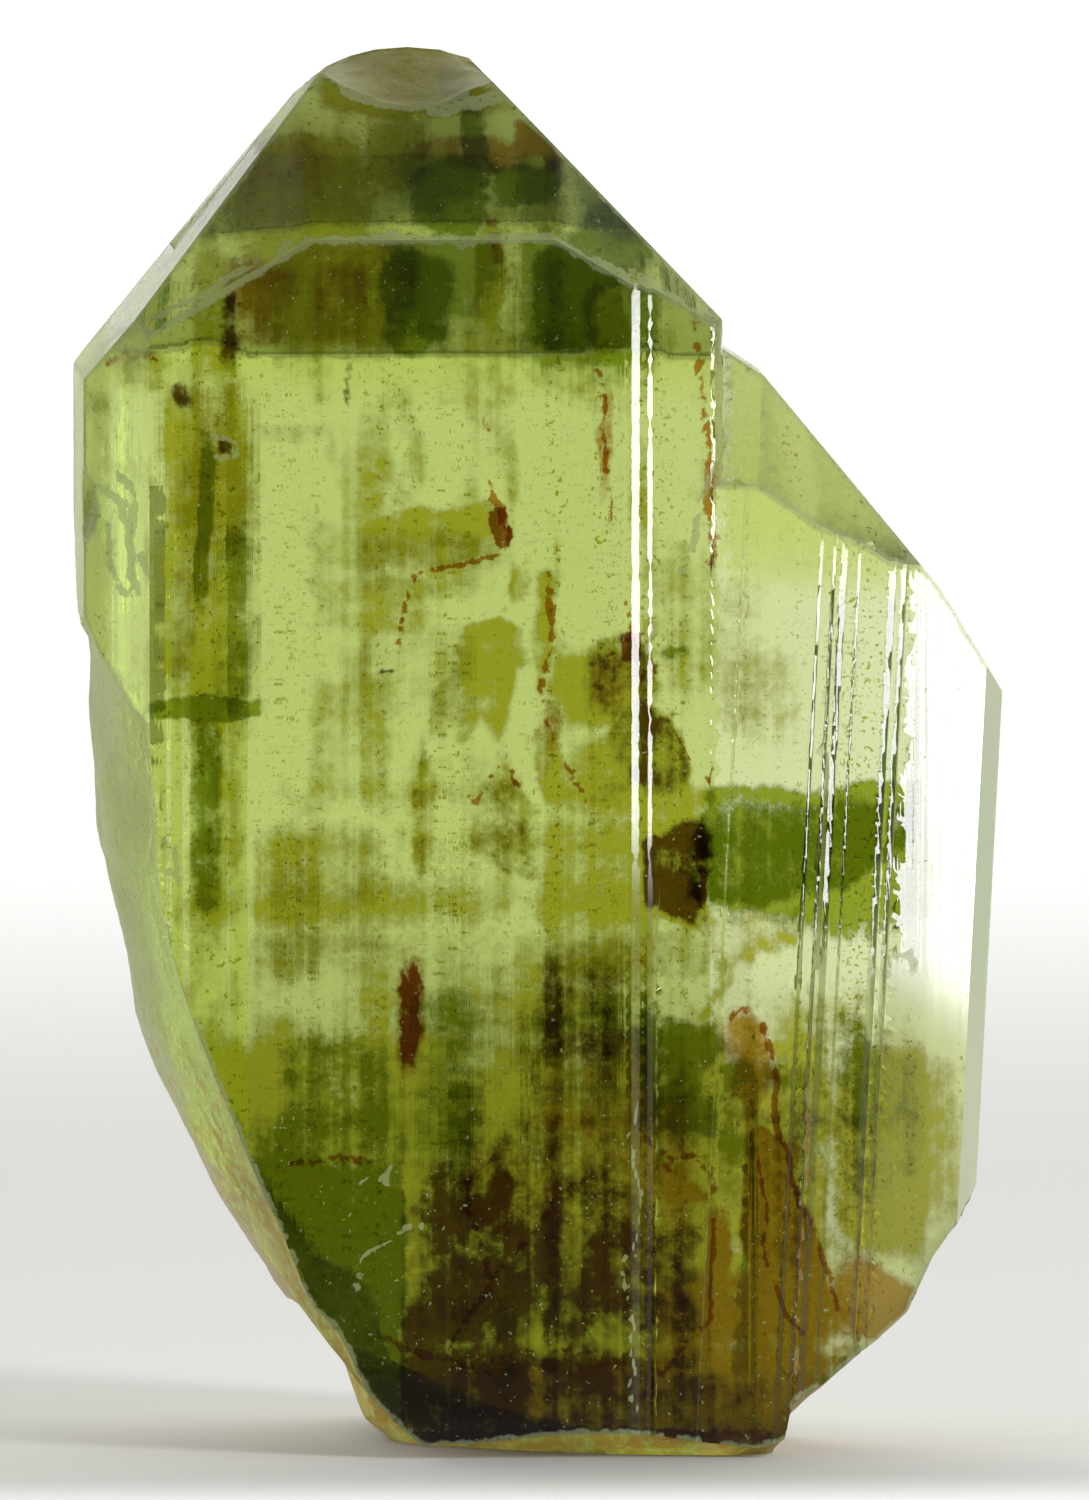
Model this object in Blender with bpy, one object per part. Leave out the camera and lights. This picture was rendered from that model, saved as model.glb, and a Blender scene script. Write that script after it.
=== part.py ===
"""A forsterite crystal: a stout prism under a roof of end faces, with a smaller crystal grown into
its right side, both broken off at the foot. It is one solid that rests on the flat of the break.

The faces are those of the mineral. Each has its Miller indices and a point that it passes through,
and its direction comes from the unit cell. Lengths are in metres. +Z is up, the broad face looks
at -Y, and the origin is at the middle of the footprint, on the surface that the crystal stands on.
"""

import math

import bmesh
import bpy
import numpy as np
from mathutils import Euler, Matrix, Vector

MM = 0.001

# Forsterite's unit cell in nanometres: a points at the viewer, b to the right and c up
CELL_A = 0.4756
CELL_B = 1.0207
CELL_C = 0.5980

# Main crystal: where its broad front, its back and its left side lie
FRONT_Y = -6.0 * MM
BACK_Y = 5.8 * MM
LEFT_X = -11.9 * MM
# Corners of the left side, which the outline of the prism starts and ends at
LEFT_FRONT_Y = -3.85 * MM
FRONT_LEFT_X = -10.18 * MM
# The heights at which the roof leaves the front, the back and the left dome's foot
FRONT_EAVES = 31.31 * MM
BACK_EAVES = 27.93 * MM
LEFT_EAVES = 27.55 * MM

# Side crystal: a point on its front, and how it leans from the main crystal's axes
SIDE_PIVOT = Vector((3.7, -5.823, 23.1)) * MM
SIDE_LEAN = Euler((math.radians(-0.55), math.radians(3.0), math.radians(-1.7)), "ZYX")
SIDE_FROM_X = 2.64 * MM
SIDE_EAVES = 25.25 * MM
PRISM_TOP = 44.0 * MM

# The break at the foot, drawn as the line that it follows up both sides, as (x, z) from the
# left flank round the foot to the right flank: at the broad front, and half way to the back
BREAK_FRONT = np.array(
    [
        (-16.0, 44.0), (-15.0, 26.0), (-12.0, 22.6), (-11.6, 20.6), (-11.05, 19.9), (-10.3, 18.8),
        (-10.15, 16.8), (-10.05, 14.7), (-9.6, 12.6), (-9.05, 10.8), (-8.3, 9.0), (-7.45, 7.0),
        (-6.75, 5.5), (-6.15, 3.9), (-5.3, 3.0), (-4.65, 1.5), (-3.3, 0.18), (-1.9, 0.3),
        (0.1, 0.52), (1.8, 0.6), (3.0, 0.55), (3.8, 0.5), (5.35, 0.3), (5.95, 0.45),
        (6.15, 1.5), (6.95, 1.85), (7.55, 2.35), (8.35, 3.0), (9.0, 3.6), (9.35, 4.3),
        (9.75, 5.2), (10.4, 5.95), (10.8, 6.6), (11.3, 9.0), (14.5, 12.0), (16.0, 44.0),
    ]
) * MM  # fmt: skip
BREAK_MIDDLE = np.array(
    [
        (-16.0, 44.0), (-15.0, 26.5), (-12.3, 23.2), (-12.0, 21.6), (-11.6, 20.7), (-11.5, 19.7),
        (-11.5, 18.2), (-11.45, 17.0), (-11.35, 15.6), (-10.95, 13.9), (-10.6, 12.5), (-10.4, 11.1),
        (-9.95, 9.8), (-9.4, 8.5), (-8.75, 7.2), (-8.05, 5.9), (-7.1, 4.6), (-6.6, 3.7),
        (-5.35, 3.1), (-5.1, 1.9), (-4.6, 0.6), (-2.5, -1.1), (1.8, -1.2), (5.2, -0.9),
        (6.4, 0.7), (7.1, 1.5), (7.8, 2.2), (8.6, 2.9), (9.3, 3.7), (9.6, 4.6),
        (10.1, 5.4), (10.75, 6.1), (11.2, 7.0), (11.8, 9.4), (14.5, 12.0), (16.0, 44.0),
    ]
) * MM  # fmt: skip
BREAK_BACK_INSET = 1.1 * MM
BREAK_STEP = 0.55 * MM
BREAK_SECTIONS = 19
BREAK_RELIEF = 0.16 * MM

# The worn tip: a shallow saddle that rises to the back, hollow in front and rounded behind
TIP_X = -3.45 * MM
TIP_Y = -0.6 * MM
TIP_Z = 35.85 * MM
TIP_RISE = 0.47
TIP_CURL = -130.0
TIP_CURL_CHANGE = -95000.0
TIP_REACH = 6.0 * MM
TIP_GRID = 15

# Chips off the edges, as centre and radius
NICKS = (
    (Vector((12.6, -3.6, 16.1)) * MM, 1.0 * MM),
    (Vector((-12.6, -3.6, 24.3)) * MM, 1.25 * MM),
    (Vector((5.7, -5.4, 28.6)) * MM, 1.35 * MM),
    (Vector((-1.9, -7.2, 32.3)) * MM, 1.3 * MM),
    (Vector((2.3, -7.0, 30.8)) * MM, 1.15 * MM),
    (Vector((-12.3, 4.4, 17.0)) * MM, 1.3 * MM),
)

PERIDOT_GREEN = (0.52, 0.62, 0.22, 1.0)


def face_normal(h, k, l):
    """Unit normal of the face with Miller indices hkl, which lies along its reciprocal vector."""
    return Vector((k / CELL_B, -h / CELL_A, l / CELL_C)).normalized()


def reach(walk):
    """How far a walk along prism faces gets, as a vector in plan.

    Each step is a face (h, k) and how far the section runs along it, anticlockwise from above.
    """
    end = Vector((0, 0))
    for h, k, length in walk:
        normal = face_normal(h, k, 0)
        end = end + Vector((-normal.y, normal.x)) * length
    return end


def prism_outline(start, walk):
    """Corners of a prism's cross-section: a start and a walk round it.

    The last corner is joined to the first by a face that the walk leaves out.
    """
    return [Vector(start) + reach(walk[:i]) for i in range(len(walk) + 1)]


def striations(broad, narrow, widths):
    """Steps of a walk that alternate two prism faces, as growth lines do."""
    walk = []
    for broad_width, narrow_width in widths:
        walk.append((*broad, broad_width * MM))
        walk.append((*narrow, narrow_width * MM))
    return walk


def cut(bm, point, normal):
    """Takes away what lies beyond a plane and closes the cut with one flat face."""
    parts = bm.verts[:] + bm.edges[:] + bm.faces[:]
    sliced = bmesh.ops.bisect_plane(
        bm, geom=parts, dist=1e-7, plane_co=point, plane_no=normal, clear_outer=True
    )
    rim = [e for e in sliced["geom_cut"] if isinstance(e, bmesh.types.BMEdge)]
    rim = [e for e in rim if len(e.link_faces) == 1]
    if rim:
        bmesh.ops.contextual_create(bm, geom=rim)


def object_of(name, bm):
    """A linked object with the bmesh as its mesh, its faces pointing out."""
    bmesh.ops.recalc_face_normals(bm, faces=bm.faces[:])
    mesh = bpy.data.meshes.new(name)
    bm.to_mesh(mesh)
    bm.free()
    made = bpy.data.objects.new(name, mesh)
    bpy.context.scene.collection.objects.link(made)
    return made


def grown_prism(corners, low, placing, ends):
    """A prism on that outline, placed, cut by its end faces and cut level at the foot."""
    bm = bmesh.new()
    foot = bm.faces.new([bm.verts.new((c.x, c.y, low)) for c in corners])
    risen = bmesh.ops.extrude_face_region(bm, geom=[foot])
    top = [v for v in risen["geom"] if isinstance(v, bmesh.types.BMVert)]
    bmesh.ops.translate(bm, verts=top, vec=(0, 0, PRISM_TOP - low))
    bmesh.ops.recalc_face_normals(bm, faces=bm.faces[:])
    bm.transform(placing)
    turn = placing.to_3x3()
    for indices, point in ends:
        cut(bm, Vector(point) * MM, turn @ face_normal(*indices))
    cut(bm, Vector((0, 0, 0)), Vector((0, 0, -1)))
    return bm


def main_crystal():
    """The broad crystal: its front is (100), its sides (010), and small faces round the corners."""
    bevel = math.hypot(FRONT_LEFT_X - LEFT_X, FRONT_Y - LEFT_FRONT_Y)
    front = striations((1, 0), (1, 1), ((12.3, 0.254), (0.18, 0.165), (1.46, 0.15)))
    front = [(1, -3, bevel), *front, (1, 2, 0.17 * MM), (1, 4, 0.2 * MM)]
    back_right = striations((-1, 1), (-1, 0), ((1.1, 0.2), (0.8, 0.12), (1.3, 0.3)))
    back_left = striations(
        (-1, -1),
        (-1, 0),
        ((0.5, 0.16), (0.9, 0.22), (0.35, 0.1), (0.7, 0.3), (0.45, 0.12), (0.8, 0.1)),
    )
    right_side = BACK_Y - LEFT_FRONT_Y - reach(front).y - reach(back_right).y
    back = reach(front).x + reach(back_right).x + reach(back_left).x
    walk = [*front, (0, 1, right_side), *back_right, (-1, 0, back), *back_left]
    corners = prism_outline((LEFT_X, LEFT_FRONT_Y), walk)
    ends = (
        ((1, 0, 1), (0, FRONT_Y / MM, FRONT_EAVES / MM)),
        ((1, -1, 1), (-6.17, FRONT_Y / MM, FRONT_EAVES / MM)),
        ((1, 1, 1), (0.05, FRONT_Y / MM, FRONT_EAVES / MM)),
        ((-1, 0, 1), (0, BACK_Y / MM, BACK_EAVES / MM)),
        ((-1, -1, 1), (-8.3, BACK_Y / MM, BACK_EAVES / MM)),
        ((-1, 1, 1), (1.4, BACK_Y / MM, BACK_EAVES / MM)),
        ((0, -2.19, 1), (LEFT_X / MM, 0, LEFT_EAVES / MM)),
        ((0, 1.78, 1), (1.4, 0, 32.2)),
    )
    return grown_prism(corners, 0.0, Matrix.Identity(4), ends)


def side_crystal():
    """The smaller crystal, leaning to the right, whose front is finely stepped."""
    front = striations(
        (1, 0),
        (1, 1),
        (
            (1.9, 0.04), (0.75, 0.05), (1.6, 0.05), (1.94, 0.1), (0.26, 0.1), (0.11, 0.2),
            (0.25, 0.1), (0.71, 0.24), (0.11, 0.17), (0.03, 2.4),
        ),
    )  # fmt: skip
    right_side = [(1, 3, 0.8 * MM), (0, 1, 2.0 * MM)]
    walk = [*front, *right_side, (-1, 1, 6.6 * MM), (-1, 0, 4.0 * MM)]
    corners = prism_outline((-3.2 * MM, -0.04 * MM), walk)
    placing = Matrix.Translation(SIDE_PIVOT) @ SIDE_LEAN.to_matrix().to_4x4()
    ends = (
        ((1, 0, 1), (4.0, -5.55, SIDE_EAVES / MM)),
        ((1, 1, 1), (7.18, -5.9, 23.62)),
        ((0, 1, 1), (5.16, -2.5, 27.83)),
        ((0, 1.85, 1), (8.03, -2.5, 24.6)),
        ((0, 2.5, 1), (10.5, -3, 21.4)),
    )
    bm = grown_prism(corners, -40 * MM, placing, ends)
    cut(bm, Vector((SIDE_FROM_X, 0, 0)), Vector((-1, 0, 0)))
    return bm


def relief(x, y, z):
    """Low irregular swells for broken surfaces, from -1 to 1: a few sine waves across each other."""
    waves = (
        (0.9, 0.5, 0.3, 0.0, 0.36),
        (-0.4, 1.1, 0.7, 1.3, 0.26),
        (0.8, -0.9, 1.5, 2.1, 0.2),
        (2.3, 1.4, -1.6, 0.7, 0.11),
        (-1.9, 2.6, 2.2, 4.0, 0.07),
    )
    return sum(
        share * np.sin((a * x + b * y + c * z) / MM + phase) for a, b, c, phase, share in waves
    )


def closed_grid(points):
    """A bmesh of a grid of points whose rows are closed loops, with a flat face at each end."""
    bm = bmesh.new()
    rows = [[bm.verts.new(p) for p in row] for row in points]
    for this, following in zip(rows, rows[1:]):
        for i, vert in enumerate(this):
            j = (i + 1) % len(this)
            bm.faces.new((vert, this[j], following[j], following[i]))
    bm.faces.new(rows[0])
    bm.faces.new(rows[-1])
    return bm


def break_body():
    """What the break left: a body whose sides follow the broken line from front to back.

    The line widens from the front outline to the middle one as the root of the depth, so that the
    flank is round, and it draws in again behind.
    """
    steps = np.hypot(*np.diff(BREAK_MIDDLE, axis=0).T)
    along = np.concatenate([[0], np.cumsum(steps)])
    count = int(along[-1] / BREAK_STEP)
    t = np.linspace(0, along[-1], count)
    front = np.column_stack([np.interp(t, along, c) for c in BREAK_FRONT.T])
    middle = np.column_stack([np.interp(t, along, c) for c in BREAK_MIDDLE.T])
    run = np.gradient(middle, axis=0)
    outward = np.column_stack([run[:, 1], -run[:, 0]]) / np.hypot(*run.T)[:, None]
    rows = []
    for y in np.linspace(FRONT_Y - 1.5 * MM, BACK_Y + 1.5 * MM, BREAK_SECTIONS):
        depth = np.clip((y - FRONT_Y) / (-0.4 * MM - FRONT_Y), 0, 1)
        behind = np.clip((y - 1.0 * MM) / (BACK_Y - 1.0 * MM), 0, 1.3)
        share = 1 - (1 - depth) ** 2
        line = front + (middle - front) * share - outward * BREAK_BACK_INSET * behind**2
        lift = BREAK_RELIEF * relief(line[:, 0], y, line[:, 1]) * (0.35 + 0.65 * share)
        line = line + outward * lift[:, None]
        rows.append([(x, y, z) for x, z in line])
    return closed_grid(rows)


def tip_cutter():
    """What is worn off the tip: all above a saddle surface."""
    x = TIP_X + np.linspace(-TIP_REACH, TIP_REACH, TIP_GRID)
    y = TIP_Y + np.linspace(-TIP_REACH, TIP_REACH, TIP_GRID)
    rows = []
    for yy in y:
        curl = TIP_CURL + TIP_CURL_CHANGE * (yy - TIP_Y)
        curl = np.clip(curl, -190.0, 190.0)
        z = TIP_Z + TIP_RISE * (yy - TIP_Y) + curl * (x - TIP_X) ** 2
        z = z + 0.05 * MM * relief(x, yy, z)
        under = [(a, yy, b) for a, b in zip(x, z)]
        over = [(x[-1], yy, PRISM_TOP + 6 * MM), (x[0], yy, PRISM_TOP + 6 * MM)]
        rows.append(under + over)
    return closed_grid(rows)


def nick_cutter(centre, radius):
    """A lumpy ball, which leaves a shell-shaped chip."""
    bm = bmesh.new()
    bmesh.ops.create_icosphere(bm, subdivisions=3, radius=radius)
    for vert in bm.verts:
        place = centre + vert.co
        swell = 0.08 * float(relief(place.x * 1.6, place.y * 1.6, place.z * 1.6))
        vert.co = place + vert.co * swell
    return bm


def boolean(target, operation, tool):
    """Joins, cuts or keeps the target's mesh with the tool, and removes the tool."""
    step = target.modifiers.new(operation.lower(), "BOOLEAN")
    step.operation = operation
    step.solver = "EXACT"
    step.object = tool
    depsgraph = bpy.context.evaluated_depsgraph_get()
    made = bpy.data.meshes.new_from_object(target.evaluated_get(depsgraph))
    target.modifiers.remove(step)
    target.data = made
    bpy.data.objects.remove(tool)


def tidy(obj):
    """Merges doubles and joins what lies in one plane, then seats the mesh on its footprint."""
    bm = bmesh.new()
    bm.from_mesh(obj.data)
    bmesh.ops.remove_doubles(bm, verts=bm.verts[:], dist=0.004 * MM)
    bmesh.ops.dissolve_limit(
        bm, angle_limit=math.radians(0.2), verts=bm.verts[:], edges=bm.edges[:]
    )
    low = Vector(min(v.co[i] for v in bm.verts) for i in range(3))
    high = Vector(max(v.co[i] for v in bm.verts) for i in range(3))
    middle = (low + high) / 2
    bmesh.ops.translate(bm, verts=bm.verts[:], vec=(-middle.x, -middle.y, -low.z))
    bmesh.ops.triangulate(bm, faces=bm.faces[:], ngon_method="BEAUTY")
    bm.to_mesh(obj.data)
    bm.free()


def crystal_material():
    """Clear yellow-green crystal."""
    material = bpy.data.materials.new("peridot")
    material.use_nodes = True
    shader = material.node_tree.nodes["Principled BSDF"]
    shader.inputs["Base Color"].default_value = PERIDOT_GREEN
    shader.inputs["Roughness"].default_value = 0.06
    shader.inputs["Metallic"].default_value = 0.0
    shader.inputs["IOR"].default_value = 1.66
    shader.inputs["Transmission Weight"].default_value = 0.9
    return material


def build():
    """Grows the two crystals into one, breaks the foot, wears the tip and chips the edges."""
    for obj in list(bpy.data.objects):
        bpy.data.objects.remove(obj)
    crystal = object_of("crystal", main_crystal())
    boolean(crystal, "UNION", object_of("side", side_crystal()))
    boolean(crystal, "INTERSECT", object_of("break", break_body()))
    boolean(crystal, "DIFFERENCE", object_of("tip", tip_cutter()))
    for centre, radius in NICKS:
        boolean(crystal, "DIFFERENCE", object_of("nick", nick_cutter(centre, radius)))
    tidy(crystal)
    crystal.data.materials.clear()
    crystal.data.materials.append(crystal_material())


build()
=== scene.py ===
"""A clear yellow-green forsterite crystal, standing on a pale floor in soft light."""

import math

import bmesh
import bpy
import numpy as np
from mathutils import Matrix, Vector


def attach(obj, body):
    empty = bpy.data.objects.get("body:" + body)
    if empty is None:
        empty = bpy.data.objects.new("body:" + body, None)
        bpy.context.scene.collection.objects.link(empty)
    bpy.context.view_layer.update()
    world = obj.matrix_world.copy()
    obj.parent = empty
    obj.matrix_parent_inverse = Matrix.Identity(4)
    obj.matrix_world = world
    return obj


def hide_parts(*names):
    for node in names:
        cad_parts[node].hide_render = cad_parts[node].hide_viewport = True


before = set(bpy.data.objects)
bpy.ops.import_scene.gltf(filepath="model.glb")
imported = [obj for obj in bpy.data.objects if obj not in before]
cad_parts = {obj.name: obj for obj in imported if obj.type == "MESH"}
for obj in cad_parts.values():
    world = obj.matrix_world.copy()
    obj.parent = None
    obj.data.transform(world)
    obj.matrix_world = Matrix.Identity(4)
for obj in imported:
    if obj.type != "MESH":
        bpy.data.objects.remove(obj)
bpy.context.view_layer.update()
MM = 0.001


# The crystal
# A broad forsterite prism with a smaller one grown into its right side. The faces are bright and
# finely striated, their edges worn pale, and the foot is broken, frosted and stained with iron.

GRAIN = 0.46 * MM
FRONT_GRAIN = 0.24 * MM
SKIN_DEPTH = 0.05 * MM
FACE_AREA = 0.8 * MM**2
WORN_REACH = 1.0 * MM
TIP_FROM = 33.2 * MM
TIP_BROKEN = 0.4
FRONT_DEPTH = -5.85 * MM
WORN_ANGLE = math.radians(14.0)
WORN_SLANT = 0.35
OUTLINE_REACH = 11.4 * MM


def planes_of(mesh):
    """For each triangle, the area of all triangles in its plane, and its unit normal.

    Two triangles are in one plane if their normals and their distances from the origin agree when
    rounded.
    """
    count = len(mesh.polygons)
    normals = np.empty(count * 3)
    centres = np.empty(count * 3)
    areas = np.empty(count)
    mesh.polygons.foreach_get("normal", normals)
    mesh.polygons.foreach_get("center", centres)
    mesh.polygons.foreach_get("area", areas)
    normals = normals.reshape(-1, 3)
    centres = centres.reshape(-1, 3)
    reach = np.einsum("ij,ij->i", normals, centres)
    key = np.column_stack([np.round(normals * 80), np.round(reach / (0.03 * MM))])
    _, member = np.unique(key, axis=0, return_inverse=True)
    return np.bincount(member.ravel(), weights=areas)[member.ravel()], normals


def relief(points, scale, seed):
    """Smooth noise from -1 to 1 at points: sine waves in eight random directions, added."""
    draw = np.random.default_rng(seed)
    ways = draw.normal(size=(8, 3))
    ways /= np.linalg.norm(ways, axis=1)[:, None]
    turns = draw.uniform(0.6, 2.2, 8) / scale
    starts = draw.uniform(0, 2 * math.pi, 8)
    waves = np.sin((points @ ways.T) * turns * 2 * math.pi + starts)
    return waves.sum(axis=1) / 4.0


def is_long(edge):
    """Whether an edge is longer than the grain, which is finer on the broad front face."""
    depth = (edge.verts[0].co.y + edge.verts[1].co.y) / 2
    return edge.calc_length() > (FRONT_GRAIN if depth < FRONT_DEPTH else GRAIN)


def is_worn(edge, layer):
    """Whether an edge is a worn one: sharp, beside a whole face, and slanting or on the outline."""
    if edge.calc_face_angle(0.0) < WORN_ANGLE:
        return False
    if all(face[layer] > 0.2 for face in edge.link_faces):
        return False
    start, end = (vert.co for vert in edge.verts)
    slant = abs(end.x - start.x) / max((end - start).length, 1e-9)
    return slant > WORN_SLANT or abs(start.x + end.x) / 2 > OUTLINE_REACH


def crystal_skin(node):
    """A fine copy of the crystal's mesh with its broken faces marked, and its sharp edges.

    Edges are halved until none is longer than the grain, and doubled faces are dropped.
    """
    areas, normals = planes_of(node.data)
    broken = (areas < FACE_AREA) | (normals[:, 2] < -0.9)
    bm = bmesh.new()
    bm.from_mesh(node.data)
    bm.faces.ensure_lookup_table()
    layer = bm.faces.layers.float.new("broken")
    for face, value in zip(bm.faces, broken.astype(float)):
        face[layer] = value * (TIP_BROKEN if face.calc_center_median().z > TIP_FROM else 1.0)
    bmesh.ops.remove_doubles(bm, verts=bm.verts[:], dist=0.002 * MM)
    ridges = [[list(vert.co) for vert in edge.verts] for edge in bm.edges if is_worn(edge, layer)]
    for _ in range(10):
        long_edges = [edge for edge in bm.edges if is_long(edge)]
        if not long_edges:
            break
        bmesh.ops.subdivide_edges(bm, edges=long_edges, cuts=1)
        bmesh.ops.triangulate(bm, faces=[face for face in bm.faces if len(face.verts) > 3])
        flat = [edge for edge in bm.edges if edge.calc_face_angle(0.0) < 0.002]
        bmesh.ops.beautify_fill(bm, faces=bm.faces[:], edges=flat)
    made = bpy.data.meshes.new("crystal skin")
    bm.to_mesh(made)
    made.validate()
    bm.free()
    return made, np.array(ridges)


def distance_to(points, lines):
    """The least distance from each point to any of the straight lines, up to the worn reach."""
    nearest = np.full(len(points), WORN_REACH)
    for start, end in lines:
        box = np.all((points > np.minimum(start, end) - WORN_REACH), axis=1)
        box &= np.all((points < np.maximum(start, end) + WORN_REACH), axis=1)
        near = points[box]
        run = end - start
        t = np.clip((near - start) @ run / max(run @ run, 1e-18), 0.0, 1.0)
        gap = np.linalg.norm(near - start - t[:, None] * run, axis=1)
        nearest[box] = np.minimum(nearest[box], gap)
    return nearest


def vertex_normals(mesh, verts):
    """Each vertex's mean outward normal, and whether all the faces it joins are broken."""
    corners = np.empty(len(mesh.loops), dtype=int)
    mesh.loops.foreach_get("vertex_index", corners)
    corners = corners.reshape(-1, 3)
    normals = np.empty(len(mesh.polygons) * 3)
    mesh.polygons.foreach_get("normal", normals)
    normals = normals.reshape(-1, 3)
    broken = np.empty(len(mesh.polygons))
    mesh.attributes["broken"].data.foreach_get("value", broken)
    summed = np.zeros_like(verts)
    met = np.zeros(len(verts))
    met_broken = np.zeros(len(verts))
    for i in range(3):
        np.add.at(summed, corners[:, i], normals)
        np.add.at(met, corners[:, i], 1.0)
        np.add.at(met_broken, corners[:, i], broken)
    unit = summed / np.maximum(np.linalg.norm(summed, axis=1), 1e-9)[:, None]
    return unit, met_broken >= (TIP_BROKEN - 0.01) * met


def finish_skin(mesh, ridges):
    """Gives the fine mesh its relief where broken, its distance from sharp edges and its stains."""
    verts = np.empty(len(mesh.vertices) * 3)
    mesh.vertices.foreach_get("co", verts)
    verts = verts.reshape(-1, 3)
    outward, wholly = vertex_normals(mesh, verts)
    away = mesh.attributes.new("away", "FLOAT", "POINT")
    away.data.foreach_set("value", distance_to(verts, ridges) / MM)
    for name, paint in (("stains", paint_stains), ("rusts", paint_rusts)):
        colour = mesh.color_attributes.new(name, "FLOAT_COLOR", "POINT")
        colour.data.foreach_set("color", paint(verts / MM, outward).ravel())
    depth = (0.5 + 0.5 * relief(verts, 1.1 * MM, 3)) * 0.6
    depth = depth + (0.5 + 0.5 * relief(verts, 0.45 * MM, 4)) * 0.4
    sunk = depth * wholly * (verts[:, 2] > 0.02 * MM) * SKIN_DEPTH
    mesh.vertices.foreach_set("co", (verts - outward * sunk[:, None]).ravel())
    mesh.polygons.foreach_set("use_smooth", np.ones(len(mesh.polygons), dtype=bool))
    mesh.update()
    mesh.set_sharp_from_angle(angle=math.radians(9.0))


def smooth(low, high, value):
    """0 below low and 1 above high, with a smooth rise between. It falls if low is the higher."""
    t = np.clip((value - low) / (high - low), 0.0, 1.0)
    return t * t * (3.0 - 2.0 * t)


def clouds(x, z, size, seed, octaves=3):
    """Noise from 0 to 1: random heights on a square lattice, joined smoothly, in octaves."""
    total = np.zeros_like(x)
    weight = 1.0
    full = 0.0
    for octave in range(octaves):
        heights = np.random.default_rng(seed + octave).random((64, 64))
        u = x / size + 11.3 * octave
        v = z / size + 5.7 * octave
        i = np.floor(u).astype(int)
        j = np.floor(v).astype(int)
        s = smooth(0.0, 1.0, u - i)
        t = smooth(0.0, 1.0, v - j)
        low = heights[i % 64, j % 64] * (1 - s) + heights[(i + 1) % 64, j % 64] * s
        high = heights[i % 64, (j + 1) % 64] * (1 - s) + heights[(i + 1) % 64, (j + 1) % 64] * s
        total += weight * (low * (1 - t) + high * t)
        full += weight
        size *= 0.5
        weight *= 0.55
    return total / full


def spots(x, z, shapes):
    """The strongest of several rounded patches at each point.

    A patch is its middle, its two reaches, its turn in degrees and its strength. It is full to
    0.6 of its reach and gone at 1.4, by the fourth-power sum of the distances along its axes.
    """
    most = np.zeros_like(x)
    for (cx, cz), (rx, rz), turn, strength in shapes:
        c, s = math.cos(math.radians(turn)), math.sin(math.radians(turn))
        across = ((x - cx) * c + (z - cz) * s) / rx
        along = ((z - cz) * c - (x - cx) * s) / rz
        gap = (across**4 + along**4) ** 0.25
        most = np.maximum(most, strength * (1.0 - smooth(0.6, 1.4, gap)))
    return most


def threads(x, z, lines):
    """The strongest of several bent lines at each point: 1 on the line, 0 at twice its width."""
    most = np.zeros_like(x)
    for points, width in lines:
        nearest = np.full_like(x, 1e9)
        for (x0, z0), (x1, z1) in zip(points, points[1:]):
            run = (x1 - x0) ** 2 + (z1 - z0) ** 2
            t = np.clip(((x - x0) * (x1 - x0) + (z - z0) * (z1 - z0)) / run, 0.0, 1.0)
            gap = np.hypot(x - x0 - t * (x1 - x0), z - z0 - t * (z1 - z0))
            nearest = np.minimum(nearest, gap)
        most = np.maximum(most, 1.0 - smooth(0.0, 2.0 * width, nearest))
    return most


def flakes(x, z, shapes):
    """The strongest of several straight-sided patches at each point.

    A patch is its corners, against the clock, and its strength: it is full where the least
    distance inside its sides is over 0.12 mm and gone at 0.12 mm outside them.
    """
    most = np.zeros_like(x)
    for corners, strength in shapes:
        inside = np.full_like(x, 1e9)
        for (x0, z0), (x1, z1) in zip(corners, corners[1:] + corners[:1]):
            length = math.hypot(x1 - x0, z1 - z0)
            gap = ((x1 - x0) * (z - z0) - (z1 - z0) * (x - x0)) / length
            inside = np.minimum(inside, gap)
        most = np.maximum(most, strength * smooth(-0.12, 0.12, inside))
    return most


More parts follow.
